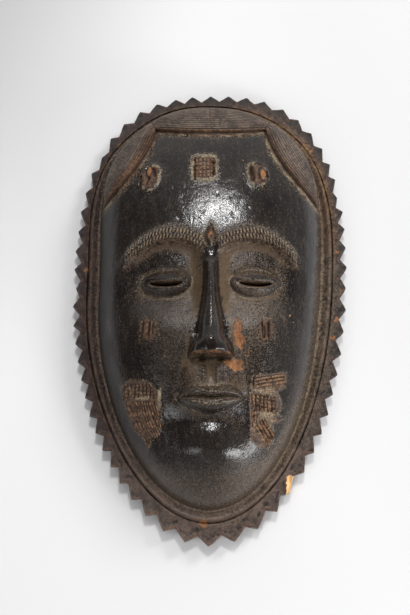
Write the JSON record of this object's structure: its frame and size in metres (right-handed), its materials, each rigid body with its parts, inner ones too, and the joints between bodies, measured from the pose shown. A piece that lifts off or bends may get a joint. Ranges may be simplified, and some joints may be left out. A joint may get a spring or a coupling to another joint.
{
  "type": "carved wooden face mask",
  "caption": "Carved wooden face mask with a toothed oval border, raised hair, lowered lids with pierced slits, and a back hollowed to fit over a face.",
  "frame": {"origin": "under the middle of the outline, on the plane that the back rim rests on", "axes": "+X to the viewer's right across the face, +Y from chin to crown, +Z out of the face"},
  "size_m": [0.1918, 0.3206, 0.0759],
  "materials": {
    "carved_wood": "satin"
  },
  "bodies": {
    "root": {"mask": "carved_wood"}
  },
  "joints": []
}
